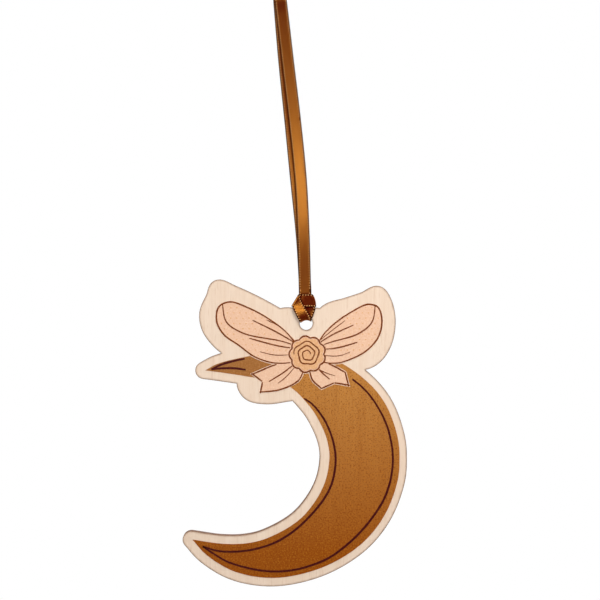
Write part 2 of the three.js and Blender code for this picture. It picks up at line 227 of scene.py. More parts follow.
def satin_paint(name, base, deep, hem_shade_colour):
    """Warp satin: threads run along the ribbon, so its gloss is wide across it and narrow along it."""
    roughness = SATIN["roughness"]
    paint = Paint(
        name, Roughness=roughness, Anisotropic=SATIN["anisotropy"], IOR=SATIN["ior"], Specular_IOR_Level=1
    )
    paint.shader.inputs["Specular Tint"].default_value = SATIN["tint"]
    threads = paint.noise(paint.place("UV", (14, 0.9, 1)), detail=2)
    twill = paint.node(
        "ShaderNodeTexWave",
        {"Vector": paint.place("UV", (1, 1, 1), math.radians(35)), "Scale": 1.1, "Distortion": 0.6},
        wave_type="BANDS", bands_direction="X",
    )["Fac"]
    shade = paint.math("ADD", paint.math("MULTIPLY", threads, 0.7), paint.math("MULTIPLY", twill, 0.3))
    across = paint.node("ShaderNodeSeparateXYZ", {"Vector": paint.place("UV", (1, 1, 1))})["X"]
    from_middle = paint.math("ABSOLUTE", paint.math("SUBTRACT", across, RIBBON_WIDTH / 2), 0)
    hem = paint.ramp(from_middle, HEM["inner"], HEM["outer"])
    body = paint.mix(paint.ramp(shade, 0.3, 0.7), base, deep)
    # The woven edge is painted near black: painted shade between and beside its thread loops.
    paint.into("Base Color", paint.mix(hem, body, hem_shade_colour))
    paint.into("Roughness", paint.ramp(hem, 0, 1, roughness, HEM["roughness"]))
    # Gloss fades inside the folds, where the ribbon shades itself.
    open_sky = paint.node("ShaderNodeAmbientOcclusion", {"Distance": FOLD["reach"]}, samples=8)["AO"]
    open_sky = paint.ramp(open_sky, FOLD["closed"], FOLD["open"])
    gloss = paint.ramp(hem, 0, 1, 1, HEM["gloss"])
    paint.into("Specular IOR Level", paint.math("MULTIPLY", open_sky, gloss))
    tangent = paint.node("ShaderNodeTangent", {}, direction_type="UV_MAP", uv_map="ribbon")["Tangent"]
    paint.into("Tangent", tangent)
    paint.bump(shade, 0.00001, 0.5)
    return paint.material


def stitch_highlight_paint(name, colour, deep):
    """The thread loops of the woven edge, painted as light as they look where they catch the light: a painted
    highlight.
    """
    paint = Paint(name, Roughness=0.4, IOR=1.5, Specular_IOR_Level=0.7)
    paint.shader.inputs["Specular Tint"].default_value = (1, 0.72, 0.4, 1)
    twist = paint.noise(paint.place("Object", TWIST_SCALE), detail=2)
    paint.into("Base Color", paint.mix(paint.ramp(twist, 0.35, 0.65), colour, deep))
    paint.bump(twist, 0.00002, 0.6)
    return paint.material


front_wood = veneer_paint(
    "front_wood", srgb(244, 221, 199), srgb(236, 209, 184), srgb(222, 189, 160), srgb(132, 92, 62)
)
back_wood = veneer_paint(
    "back_wood", srgb(236, 211, 184), srgb(222, 192, 161), srgb(198, 163, 130), srgb(120, 82, 54)
)
charred_wood = charred_paint("charred_wood", srgb(104, 66, 42), srgb(52, 30, 20))
charred_veneer = charred_paint("charred_veneer", srgb(138, 96, 64), srgb(84, 52, 34))
# The crescent's pale colour is a painted sheen and painted light at its top.
moon_colour = ink_paint(
    "moon_colour", srgb(156, 80, 4), srgb(132, 62, 4), srgb(184, 110, 30), 0.42, pale=srgb(200, 138, 68)
)
horn_colour = ink_paint("horn_colour", srgb(166, 108, 54), srgb(154, 98, 46), srgb(184, 126, 70), 0.42)
moon_line_colour = ink_paint("moon_line_colour", srgb(74, 12, 10), srgb(62, 6, 6), srgb(98, 34, 20), 0.5)
bow_colour = ink_paint("bow_colour", srgb(240, 196, 164), srgb(234, 186, 152), srgb(248, 212, 184), 0.5)
bow_line_colour = ink_paint("bow_line_colour", srgb(122, 60, 22), srgb(106, 48, 16), srgb(154, 92, 50), 0.5)
rosette_colour = ink_paint(
    "rosette_colour", srgb(232, 178, 130), srgb(222, 164, 114), srgb(242, 198, 156), 0.5
)
# The last colour is painted shade along the woven edges.
satin = satin_paint("satin", srgb(100, 12, 5), srgb(82, 6, 3), srgb(48, 5, 3))
# The loops' light colours are a painted highlight.
stitches = stitch_highlight_paint("stitches", srgb(240, 174, 106), srgb(214, 142, 80))


# Meshes


class Shape:
    """Points, faces, and each face's UVs and material number, gathered before they become one mesh."""

    def __init__(self):
        self.points = []
        self.faces = []
        self.uvs = []
        self.numbers = []

    def add(self, points, faces, uvs=None, number=0):
        """Adds points with their own faces. The UVs are one pair for each of the points."""
        start = len(self.points)
        self.points += points
        uvs = uvs or [(0, 0)] * len(points)
        for face in faces:
            self.faces.append([start + i for i in face])
            self.uvs += [uvs[i] for i in face]
            self.numbers.append(number)

    def become(self, name, materials, sharp=50):
        mesh = bpy.data.meshes.new(name)
        mesh.from_pydata([p * MM for p in self.points], [], self.faces)
        layer = mesh.uv_layers.new(name="ribbon")
        layer.data.foreach_set("uv", [value for uv in self.uvs for value in uv])
        for material in materials:
            mesh.materials.append(material)
        mesh.polygons.foreach_set("material_index", self.numbers)
        mesh.polygons.foreach_set("use_smooth", [True] * len(self.faces))
        mesh.set_sharp_from_angle(angle=math.radians(sharp))
        piece = bpy.data.objects.new(name, mesh)
        bpy.context.scene.collection.objects.link(piece)
        return piece


def spline(points, steps):
    """A centripetal Catmull-Rom curve through the points, with so many steps to a span."""
    tiny = 1e-4
    line = []
    ends = [2 * points[0] - points[1], *points, 2 * points[-1] - points[-2]]
    for a, b, c, d in zip(ends, ends[1:], ends[2:], ends[3:]):
        into, over, out = (math.sqrt((q - p).length) for p, q in ((a, b), (b, c), (c, d)))
        over = over if over > tiny else 1
        into = into if into > tiny else over
        out = out if out > tiny else over
        leave = ((b - a) / into - (c - a) / (into + over) + (c - b) / over) * over
        arrive = ((c - b) / over - (d - b) / (over + out) + (d - c) / out) * over
        for i in range(steps):
            t = i / steps
            bend = (3 * (c - b) - 2 * leave - arrive) * t * t
            turn = (2 * (b - c) + leave + arrive) * t * t * t
            line.append(b + leave * t + bend + turn)
    line.append(points[-1].copy())
    return line


def spaced(line, spacing, closed=False):
    """The same line with its points about one spacing apart."""
    line = [*line, line[0]] if closed else line
    lengths = [0]
    for a, b in zip(line, line[1:]):
        lengths.append(lengths[-1] + (b - a).length)
    count = max(2, round(lengths[-1] / spacing))
    made, at = [], 0
    for i in range(count if closed else count + 1):
        goal = lengths[-1] * i / count
        while at < len(line) - 2 and lengths[at + 1] < goal:
            at += 1
        part = (goal - lengths[at]) / max(lengths[at + 1] - lengths[at], 1e-9)
        made.append(line[at].lerp(line[at + 1], min(part, 1)))
    return made


# Plywood: three plies with a charred cut edge, on the outlines of the CAD plies


def outlines_of(node):
    """The closed outlines of a CAD node's front, the longest first, as [right, up] points in millimetres."""
    work = bmesh.new()
    work.from_mesh(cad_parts[node].data)
    bmesh.ops.remove_doubles(work, verts=work.verts, dist=1e-7)
    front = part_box(node)[0].y
    runs = set()
    for face in work.faces:
        if all(abs(v.co.y - front) < 1e-6 for v in face.verts):
            runs |= {(a.index, b.index) for a, b in zip(face.verts, [*face.verts[1:], face.verts[0]])}
    after = {a: b for a, b in runs if (b, a) not in runs}
    places = {v.index: Vector((v.co.x, v.co.z)) / MM for v in work.verts}
    work.free()
    loops = []
    while after:
        first = next(iter(after))
        loop, here = [], first
        while here in after:
            loop.append(places[here])
            here = after.pop(here)
        loops.append(loop)
    return sorted(loops, key=len, reverse=True)


def rounded(loop, spacing, corner=24):
    """The outline as a smooth line of even spacing that keeps its corners."""
    count = len(loop)

    def turn(i):
        into, out = loop[i] - loop[i - 1], loop[(i + 1) % count] - loop[i]
        return math.degrees(abs(into.angle_signed(out)))

    steps = 6
    corners = [i for i in range(count) if turn(i) > corner]
    if not corners:
        overlap = 3
        wrapped = [*loop[-overlap:], *loop, *loop[:overlap + 1]]
        smooth = spline(wrapped, steps)[overlap * steps:-overlap * steps]
        meets = (smooth[-1] - smooth[0]).length < 1e-6
        return spaced(smooth[:-1] if meets else smooth, spacing, closed=True)
    line = []
    for start, end in zip(corners, [*corners[1:], corners[0] + count]):
        stretch = [loop[i % count] for i in range(start, end + 1)]
        smooth = spline(stretch, steps) if len(stretch) > 2 else stretch
        line += spaced(smooth, spacing)[:-1]
    return line


def inner_ways(loop):
    """For each point of an outline, the way into the wood, which lies to the left of its run."""
    count = len(loop)
    ways = []
    for i in range(count):
        along = (loop[(i + 1) % count] - loop[i - 1]).normalized()
        ways.append(Vector((-along.y, along.x)))
    return ways


def add_cap(shape, parts, to_front):
    """A flat face with its holes. A part is the number of a ring's first point, and the ring's places."""
    flat = [[Vector((p.x, p.y, 0)) for p in ring] for _, ring in parts]
    owners = [start + i for start, ring in parts for i in range(len(ring))]
    points = [p for ring in flat for p in ring]
    for face in geometry.tessellate_polygon(flat):
        a, b, c = (points[i] for i in face)
        faces_front = (b - a).cross(c - a).z > 0
        order = face if faces_front == to_front else face[::-1]
        shape.faces.append([owners[i] for i in order])
        shape.uvs += [(points[i].x, points[i].y) for i in order]
        shape.numbers.append(0)


def ply(name, node, rings, wood, edge):
    """One ply of the sheet. A ring is [inset, depth, char], from the front's middle to the back's middle."""
    loops = [rounded(loop, 0.3) for loop in outlines_of(node)]
    shape = Shape()
    chars = []
    caps = {0: [], len(rings) - 1: []}
    for loop in loops:
        ways = inner_ways(loop)
        lengths = [0]
        for a, b in zip(loop, [*loop[1:], loop[0]]):
            lengths.append(lengths[-1] + (b - a).length)
        places, uvs = [], []
        for number, (inset, depth, char) in enumerate(rings):
            ring = [p + way * inset for p, way in zip(loop, ways)]
            ring.append(ring[0])
            if number in caps:
                caps[number].append((len(shape.points) + len(places), ring[:-1]))
            places += [Vector((p.x, depth, p.y)) for p in ring]
            uvs += [(length, depth) for length in lengths]
            chars += [char] * len(ring)
        base = len(shape.points)
        shape.points += places
        width = len(loop) + 1
        for number in range(len(rings) - 1):
            walls = rings[number][2] >= 1 and rings[number + 1][2] >= 1
            for i in range(number * width, number * width + len(loop)):
                quad = (i, i + width, i + width + 1, i + 1)
                shape.faces.append([base + k for k in quad])
                shape.uvs += [uvs[k] for k in quad]
                shape.numbers.append(1 if walls else 0)
    for number, parts in caps.items():
        add_cap(shape, parts, number == 0)
    piece = shape.become(name, [wood, edge], sharp=40)
    layer = piece.data.attributes.new("char", "FLOAT", "POINT")
    layer.data.foreach_set("value", chars)
    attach(piece, "ornament")
    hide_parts(node)
    return piece


front_rings = [
    (1.1, -FACE, 0), (0.6, -FACE, 0.1), (0.3, -FACE, 0.35), (0.14, -FACE, 0.65),
    (0.05, -FACE + 0.015, 1), (0, -FACE + 0.06, 1), (0, -FACE + VENEER, 1), (0.3, -FACE + VENEER, 1),
]
core_rings = [
    (0.3, -FACE + VENEER, 1), (0.01, -FACE + VENEER, 1), (0.03, -FACE + VENEER + 0.08, 1),
    (0.01, 0, 1), (0.03, FACE - VENEER - 0.08, 1), (0.01, FACE - VENEER, 1), (0.3, FACE - VENEER, 1),
]
back_rings = [(inset, -depth, char) for inset, depth, char in reversed(front_rings)]
for name, node, rings, wood, edge, slot in (
    ("veneer_front_face", "front_veneer", front_rings, front_wood, charred_veneer, "bare_veneer"),
    ("core_cut_edge", "core_ply", core_rings, charred_wood, charred_wood, "core_wood"),
    ("veneer_back_face", "back_veneer", back_rings, back_wood, charred_veneer, "bare_veneer"),
):
    ply(name, node, rings, wood, edge)


# Print: the CAD films with their inks, and the drawn lines that taper


inks = {
    "moon_ink": moon_colour,
    "horn_ink": horn_colour,
    "bow_ink": bow_colour,
    "rosette_ink": rosette_colour,
}
for node, material in inks.items():
    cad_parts[node].data.materials.clear()
    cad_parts[node].data.materials.append(material)

STROKE_HEIGHT = 0.04
STROKE_STEP = 0.4
WAVER_SCALE = 0.8


def add_stroke(shape, points, width, front, height=STROKE_HEIGHT, thin=0.5):
    """A drawn line on the print, [right, up] from the hole's centre, that thins towards both ends."""
    line = spaced(spline([Vector(p) for p in points], 8), STROKE_STEP)
    last = len(line) - 1
    rows = []
    for i, p in enumerate(line):
        along = (line[min(i + 1, last)] - line[max(i - 1, 0)]).normalized()
        across = Vector((-along.y, along.x))
        bulge = math.sin(math.pi * (0.04 + 0.92 * i / last)) ** 0.35
        waver = 0.9 + 0.1 * noise.noise(Vector((p.x, p.y, 0)) * WAVER_SCALE)
        half = width / 2 * (thin + (1 - thin) * bulge) * waver
        rows.append([p + across * half, p - across * half])
    places = []
    for one, other in rows:
        for side, depth in ((one, front), (other, front), (other, front + height), (one, front + height)):
            places.append(Vector((HOLE.x + side.x, depth, HOLE.z + side.y)))
    faces = [(0, 1, 2, 3), tuple(4 * last + i for i in (3, 2, 1, 0))]
    for i in range(last):
        for j in range(4):
            k = (j + 1) % 4
            faces.append((4 * i + j, 4 * i + 4 + j, 4 * i + 4 + k, 4 * i + k))
    shape.add(places, faces)


ECHO_WIDTH = 0.6
lines_front = -FACE - FILM - STROKE_HEIGHT
outer_echo = [
    (11.3, -13.6), (13.4, -15.3), (15.5, -17.5), (17.9, -21.1), (19.65, -24.8), (20.65, -28.4),
    (21.15, -32.1), (21, -35.8), (20.3, -39.4), (18.9, -43.1), (16.6, -46.8), (13.9, -50.2),
    (10.7, -53.4), (5.8, -57.1), (0.9, -59.2), (-4, -60.35), (-8.8, -60.55), (-13.7, -59.85),
    (-19.2, -58.2), (-22.6, -56.25), (-25.3, -54.45),
]
inner_echo = [
    (-0.5, -18.3), (1.6, -19.8), (4, -22.8), (5.3, -25.2), (6.5, -28.5), (7.15, -32.1), (7, -35.8),
    (6.1, -39.5), (4.1, -43.2), (-0.3, -48.3), (-4, -51.4), (-7.6, -53.5), (-11.3, -54.8), (-15, -55.55),
    (-19.5, -55.75), (-22.3, -55.4), (-25.3, -54.45),
]
echo = Shape()
for points in (outer_echo, inner_echo):
    add_stroke(echo, points, ECHO_WIDTH, lines_front)
echo_lines = echo.become("moon_echo_lines", [moon_line_colour])
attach(echo_lines, "ornament")
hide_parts("moon_line_ink")

horn_echo = Shape()
for depth, points in (
    (0, [(-23.2, -11.2), (-20.6, -10), (-17.9, -9.2), (-15, -8.6)]),
    (0.005, [(-23.2, -11.2), (-20.6, -10.95), (-17.4, -10.95), (-14.8, -11.3)]),
):
    add_stroke(horn_echo, points, ECHO_WIDTH, lines_front + depth)
horn_lines = horn_echo.become("horn_echo_lines", [moon_line_colour])
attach(horn_lines, "ornament")
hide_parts("horn_line_ink")


# Bow: its outlines, creases and small dots over its fill, and the rosette's lines over its own


DRIFT = Vector((0.3, 0))  # how far the print lies to the right of the cut outline
LINE = 0.42
CREASE_LINE = LINE * 0.9
FINE_LINE = LINE * 0.55
ROSETTE = {"radius": 4.7, "petals": 9, "depth": 0.5, "down": 7.5, "steps": 30}  # steps to a petal
SPIRAL = {"turns": 2.5, "start": 0.7, "end": 3.26, "petals": 5, "wave": 0.06, "steps": 80}
DOTS = {"pitch": 1.5, "radius": 0.17, "from_line": 0.62, "height": 0.03, "sides": 10}
DOT_ROWS = range(-12, 8)
DOT_COLUMNS = range(-16, 14)
rosette_middle = Vector((0, -ROSETTE["down"]))
bow_loops = [
    [
        (-1.8, -6.2), (-5, -2), (-9.8, 1.6), (-15, 4.3), (-19, 5.5), (-21.8, 4.2), (-22.4, 0.6),
        (-20.6, -2.8), (-17, -5.4), (-12.8, -8.4), (-7.4, -9.9), (-2.4, -9),
    ],
    [
        (1.8, -6.2), (2.4, -9), (6.8, -9.9), (10.9, -8.8), (14.8, -6.6), (17.6, -3.2), (18.4, 0.8),
        (17.4, 4.1), (14.8, 4.9), (11, 3.2), (6.8, 0.4), (3.6, -2.8),
    ],
]
bow_tails = [
    [(-0.6, -8.6), (-7, -9.6), (-13.8, -12.3)],
    [(-13.8, -12.3), (-11.2, -14.3)],
    [(-11.2, -14.3), (-11.7, -17)],
    [(-11.7, -17), (-6.4, -16.3), (-2, -14), (-0.5, -10.8)],
    [(0.2, -10.8), (1, -13.8), (3.4, -16.1)],
    [(3.4, -16.1), (6.6, -14.7)],
    [(6.6, -14.7), (10.3, -15.3)],
    [(10.3, -15.3), (9.4, -11.8)],
    [(9.4, -11.8), (5.6, -9.8), (0.6, -8.6)],
]
bow_creases = [
    [(-1, -6), (-7, -2.4), (-13.4, 0.8)], [(-1, -6.4), (-7.4, -5.4), (-14.2, -3.6)],
    [(-1, -6.2), (-6, -4.4), (-15.6, -2.4), (-19.8, 0.4), (-20.8, 4.9)],
    [(1, -6), (6, -2.8), (11.2, -0.4)], [(1, -6.4), (7, -6), (12.2, -4.6)],
    [(1, -6.2), (5.6, -4.6), (12.6, -2.4), (15.8, 0.4), (16.6, 4.6)],
    [(-1, -8), (-5.6, -11.8), (-9.4, -14.2)], [(1, -8), (3, -11.4), (5.4, -13.6)],
]
fine_creases = [
    [(-3, -4.4), (-6.6, -0.9), (-10, 0.9)], [(-3.6, -7.6), (-8, -7.7), (-11.6, -6.9)],
    [(3.2, -4), (6.4, -1.4), (9.2, 0.7)], [(3.8, -7.8), (7.6, -7.9), (10.4, -7)],
    [(-3, -10.6), (-5.4, -13.2), (-7.2, -14.6)], [(1.8, -10.6), (4.4, -12), (6.8, -12.8)],
]


def rim_point(angle, inset=0):
    """A point on the rosette's scalloped outline."""
    notch = ROSETTE["depth"] * (1 - abs(math.sin(ROSETTE["petals"] * angle / 2)))
    reach = ROSETTE["radius"] - notch - inset
    return rosette_middle + Vector((math.cos(angle), math.sin(angle))) * reach


def in_rosette(p):
    out = p - rosette_middle
    return out.length < (rim_point(math.atan2(out.y, out.x), LINE / 2) - rosette_middle).length


def within(p, outline):
    """Whether a closed outline goes round the point."""
    odd = False
    for a, b in zip(outline, [*outline[1:], outline[0]]):
        if (a.y > p.y) != (b.y > p.y) and p.x < a.x + (b.x - a.x) * (p.y - a.y) / (b.y - a.y):
            odd = not odd
    return odd


def shifted(line, distance):
    """The line moved to the left of its run."""
    last = len(line) - 1
    made = []
    for i, p in enumerate(line):
        along = (line[min(i + 1, last)] - line[max(i - 1, 0)]).normalized()
        made.append(p + Vector((-along.y, along.x)) * distance)
    return made


def shown_runs(line, hidden):
    """The stretches of a line that nothing covers."""
    runs, run = [], []
    for p in line:
        if hidden(p):
            runs.append(run)
            run = []
        else:
            run.append(p)
    return [run for run in [*runs, run] if len(run) > 2]


bow_shape = Shape()
drawn = []
loop_outlines = [spline([Vector(p) for p in [*points, points[0]]], 10) for points in bow_loops]


def in_loops(p):
    return any(within(p, outline) for outline in loop_outlines)


def in_rosette_or_loops(p):
    return in_rosette(p) or in_loops(p)


def draw(points, width, inset, hidden):
    """One line of the bow where it shows, a hair nearer to the viewer than the line before."""
    line = shifted(spaced(spline([Vector(p) for p in points], 10), STROKE_STEP), inset)
    for run in shown_runs(line, hidden):
        front = lines_front - 0.0005 * len(drawn) ** 0.5
        add_stroke(bow_shape, [p + DRIFT for p in run[::2] + run[-1:]], width, front, thin=0.35)
        drawn.extend(run)


for points in bow_loops:
    draw([*points, points[0]], LINE, LINE / 2, in_rosette)
for points in bow_tails:
    draw(points, LINE, LINE / 2, in_rosette_or_loops)
for points in bow_creases:
    draw(points, CREASE_LINE, 0, in_rosette)
for points in fine_creases:
    draw(points, FINE_LINE, 0, in_rosette)
rim_steps = ROSETTE["petals"] * ROSETTE["steps"]
around = [2 * math.pi * i / rim_steps for i in range(rim_steps + 1)]
for start in range(0, rim_steps, ROSETTE["steps"]):
    petal = [rim_point(a, LINE / 2) + DRIFT for a in around[start:start + ROSETTE["steps"] + 1:2]]
    add_stroke(bow_shape, petal, LINE, lines_front - 0.02, STROKE_HEIGHT + 0.02, thin=0.8)
row_height = DOTS["pitch"] * math.sqrt(3) / 2
turns = [2 * math.pi * i / DOTS["sides"] for i in range(DOTS["sides"])]
for row in DOT_ROWS:
    for column in DOT_COLUMNS:
        p = Vector(((column + row % 2 / 2) * DOTS["pitch"], row * row_height))
        on_bow = in_loops(p) and not in_rosette(p)
        if not on_bow or min((p - q).length for q in drawn) < DOTS["from_line"]:
            continue
        ring = [p + DRIFT + Vector((math.cos(a), math.sin(a))) * DOTS["radius"] for a in turns]
        places = [
            Vector((HOLE.x + q.x, depth, HOLE.z + q.y))
            for depth in (-FACE - FILM - DOTS["height"], -FACE - FILM) for q in ring
        ]
        count = DOTS["sides"]
        sides = [(i, i + count, (i + 1) % count + count, (i + 1) % count) for i in range(count)]
        near_face = tuple(range(count))
        far_face = tuple(range(2 * count - 1, count - 1, -1))
        bow_shape.add(places, [near_face, far_face, *sides], number=1)
bow_lines = bow_shape.become("bow_drawn_lines", [bow_line_colour, rosette_colour])
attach(bow_lines, "ornament")
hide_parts("bow_line_ink")

rosette_shape = Shape()
winding = []
for i in range(SPIRAL["steps"] + 1):
    part = i / SPIRAL["steps"]
    a = 2 * math.pi * SPIRAL["turns"] * part
    reach = SPIRAL["start"] + (SPIRAL["end"] - SPIRAL["start"]) * part
    reach *= 1 + SPIRAL["wave"] * math.sin(SPIRAL["petals"] * a)
    winding.append(rosette_middle + DRIFT + Vector((math.cos(a), math.sin(a))) * reach)
add_stroke(rosette_shape, winding, CREASE_LINE, lines_front - FILM, thin=0.4)
rosette_lines = rosette_shape.become("rosette_drawn_lines", [bow_line_colour])
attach(rosette_lines, "ornament")
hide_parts("rosette_line_ink")


# Ribbon: a strip with woven edges whose mid surface runs through stations, as in the CAD


def station(one, other, rise=(0, 0, 0)):
    return [Vector(one), Vector(other), Vector(rise)]


def unit_ball(around=8, rings=4):
    places = [Vector((0, 0, 1))]
    for i in range(1, rings):
        a = math.pi * i / rings
        for j in range(around):
            b = 2 * math.pi * j / around
            places.append(Vector((math.sin(a) * math.cos(b), math.sin(a) * math.sin(b), math.cos(a))))
    places.append(Vector((0, 0, -1)))
    last = len(places) - 1
    faces = []
    for j in range(around):
        k = (j + 1) % around
        faces.append((0, 1 + j, 1 + k))
        faces.append((last, last - around + k, last - around + j))
        for i in range(rings - 2):
            top, under = 1 + i * around, 1 + (i + 1) * around
            faces.append((top + j, under + j, under + k, top + k))
    return places, faces


BALL_POINTS, BALL_FACES = unit_ball()
STITCH = {"pitch": 0.62, "inset": 0.34, "along": 0.19, "across": 0.22, "up": 0.16}
EDGE_THINNING = 0.7  # a ribbon's thickness at its edges, as a share of its thickness elsewhere


def length_of(line):
    return sum((b - a).length for a, b in zip(line, line[1:]))


def add_stitches(shape, edge, inward, normals, phase):
    """Thread loops along one edge of a ribbon, none of which stands out past its ends."""
    gone, due = 0, phase * STITCH["pitch"]
    last = length_of(edge) - STITCH["along"]
    for i in range(len(edge) - 1):
        step = edge[i + 1] - edge[i]
        while due < min(gone + step.length, last):
            part = (due - gone) / step.length
            into = inward[i].lerp(inward[i + 1], part).normalized()
            up = normals[i].lerp(normals[i + 1], part).normalized()
            middle = edge[i].lerp(edge[i + 1], part) + into * STITCH["inset"]
            axes = step.normalized() * STITCH["along"], into * STITCH["across"], up * STITCH["up"]
            places = [middle + axes[0] * p.x + axes[1] * p.y + axes[2] * p.z for p in BALL_POINTS]
            shape.add(places, BALL_FACES, number=1)
            due += STITCH["pitch"]
        gone += step.length


def add_ribbon(shape, stations, steps, across=10):
    """A strip with rounded, stitched edges. A station is one edge, the other, and the rise between them.
    Returns the strip's middle line."""
    ones, others, rises = (spline([s[key] for s in stations], steps) for key in range(3))
    parts = [j / across for j in range(across + 1)]
    grid = []
    for one, other, rise in zip(ones, others, rises):
        grid.append([one.lerp(other, t) + rise * (4 * t * (1 - t)) for t in parts])
    last = len(grid) - 1
    normals = []
    for i, row in enumerate(grid):
        ups = []
        for j in range(across + 1):
            along = grid[min(i + 1, last)][j] - grid[max(i - 1, 0)][j]
            over = row[min(j + 1, across)] - row[max(j - 1, 0)]
            ups.append(along.cross(over).normalized())
        normals.append(ups)
    middle = across // 2
    lengths = [0]
    for row, following in zip(grid, grid[1:]):
        lengths.append(lengths[-1] + (following[middle] - row[middle]).length)
    half = RIBBON_THICKNESS / 2
    us = [RIBBON_WIDTH * j / across for j in range(across + 1)]
    places, uvs = [], []
    for row, ups, length in zip(grid, normals, lengths):
        skins = []
        for side in (half, -half):
            skin = [p + up * side for p, up in zip(row, ups)]
            skin[0] = row[0] + ups[0] * side * EDGE_THINNING
            skin[-1] = row[-1] + ups[-1] * side * EDGE_THINNING
            skins.append(skin)
        places += skins[0] + skins[1][::-1]
        uvs += [(u, length) for u in us] + [(u, length) for u in us[::-1]]
    ring = 2 * (across + 1)
    faces = []
    for i in range(last):
        for j in range(ring):
            k = (j + 1) % ring
            faces.append((i * ring + j, (i + 1) * ring + j, (i + 1) * ring + k, i * ring + k))
    for j in range(across):
        a, b, c, d = j, j + 1, ring - 2 - j, ring - 1 - j
        end = last * ring
        faces.append((a, b, c, d))
        faces.append((end + d, end + c, end + b, end + a))
    shape.add(places, faces, uvs)
    for j, toward, phase in ((0, 1, 0.3), (across, across - 1, 0.75)):
        edge = [row[j] for row in grid]
        inward = [(row[toward] - row[j]).normalized() for row in grid]
        add_stitches(shape, edge, inward, [ups[j] for ups in normals], phase)
    return [row[middle] for row in grid]


# Cow hitch: from the rear strand down the back, out through the hole, up the front as the left leg, over into
# the folded band, down as the right leg behind it, and back through the hole to the front strand


